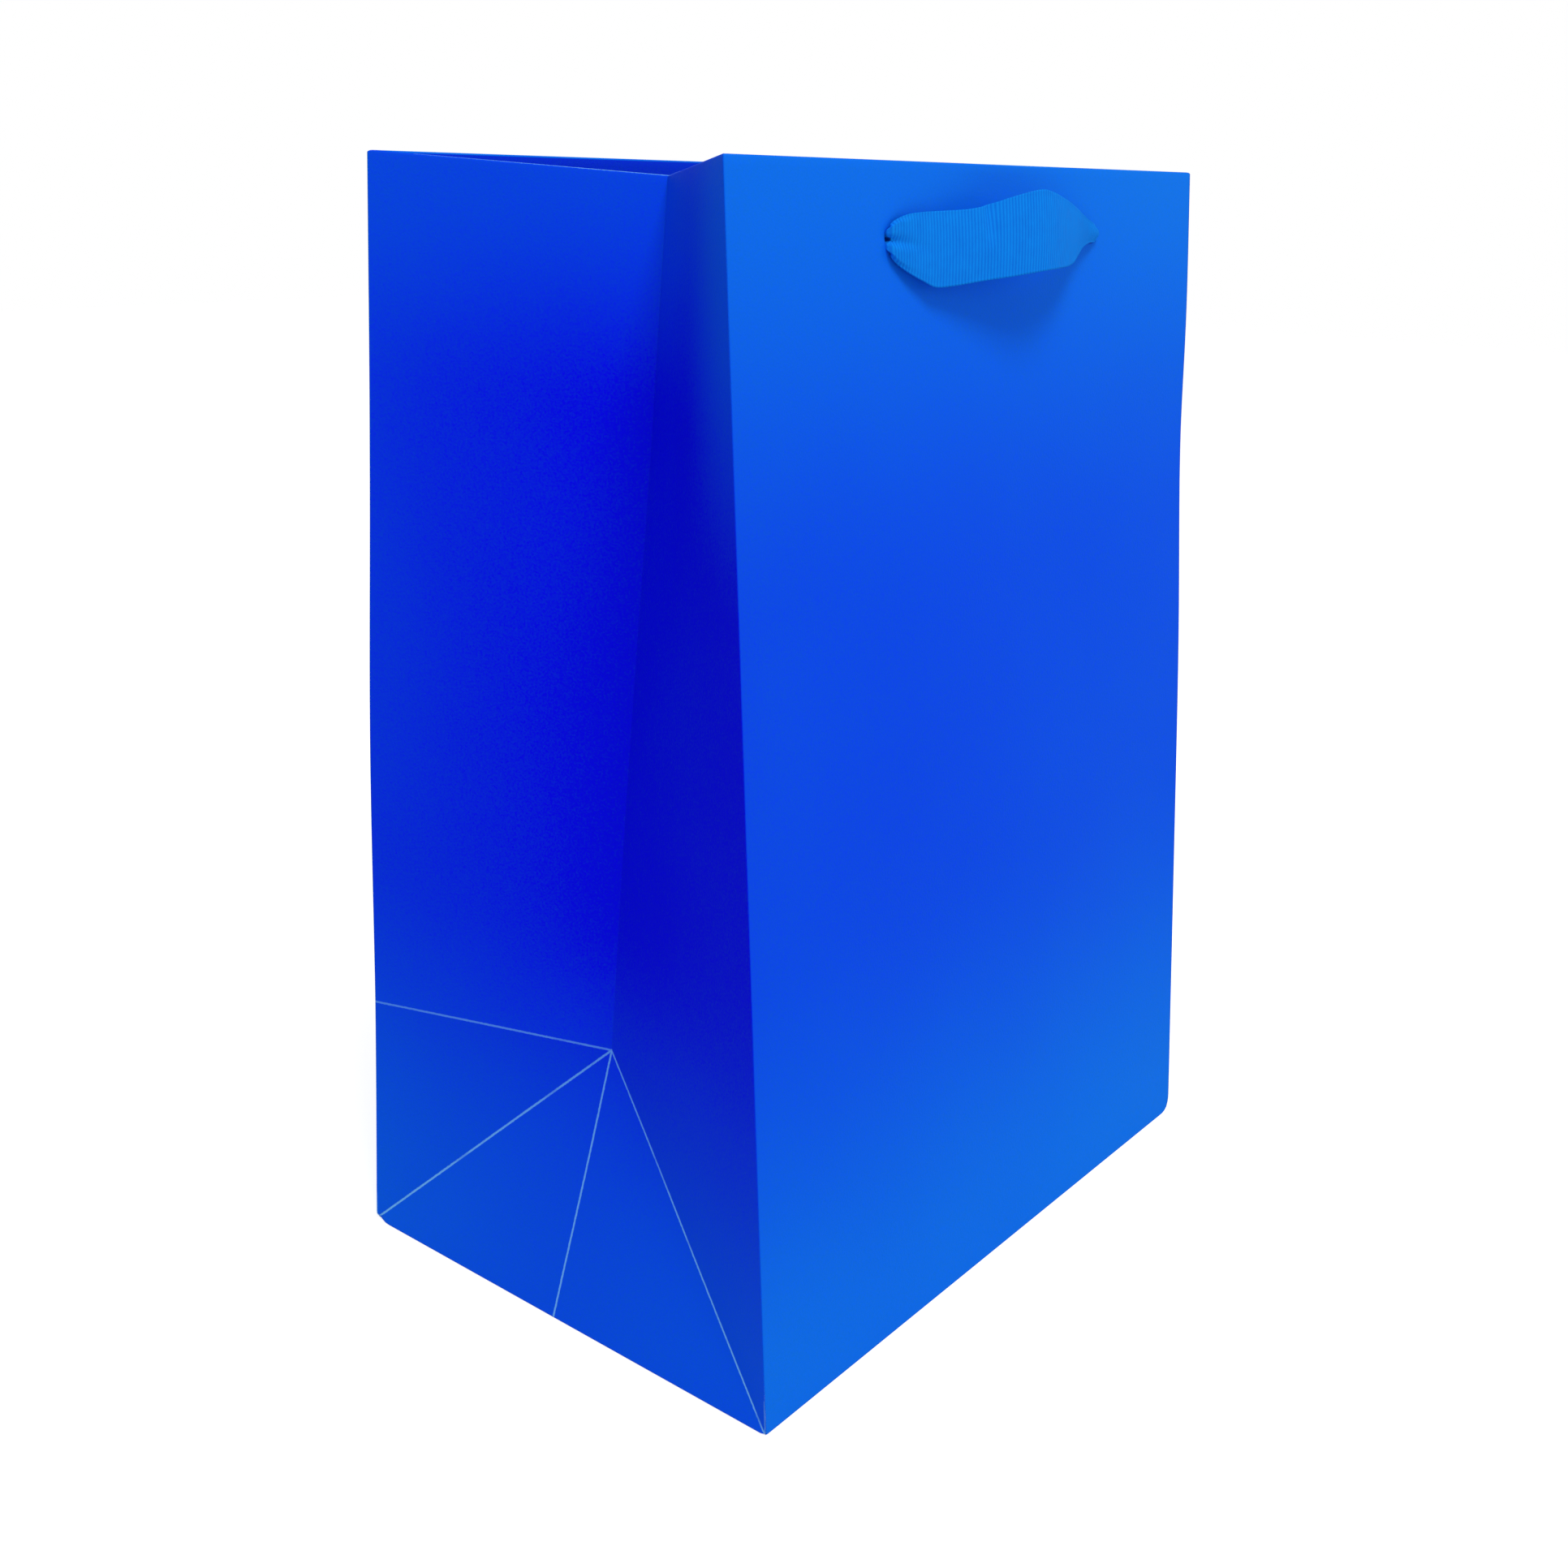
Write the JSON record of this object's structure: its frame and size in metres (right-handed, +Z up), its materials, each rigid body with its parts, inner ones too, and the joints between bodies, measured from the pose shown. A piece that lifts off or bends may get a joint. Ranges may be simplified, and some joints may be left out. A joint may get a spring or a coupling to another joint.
{
  "type": "paper gift bag",
  "caption": "Upright paper gift bag with side gussets folded in, a flat glued base, a stiffened top hem and short ribbon handles; holds and carries a gift",
  "frame": {"origin": "middle of the base, on the surface that the bag stands on", "axes": "+X along the width to the right of someone who faces the front, +Y from the front to the back, +Z up"},
  "size_m": [0.247, 0.171, 0.3499],
  "materials": {
    "blue_paper": "smooth matt laminate, bright blue, white on the unprinted inside",
    "blue_ribbon": "fine ribbed grosgrain, bright blue",
    "white_card": "plain uncoated card",
    "grey_board": "plain grey board"
  },
  "bodies": {
    "root": {"bag_body": "blue_paper", "base_board": "grey_board", "front_hem_card": "white_card", "back_hem_card": "white_card", "front_ribbon": "blue_ribbon", "back_ribbon": "blue_ribbon"}
  },
  "joints": []
}
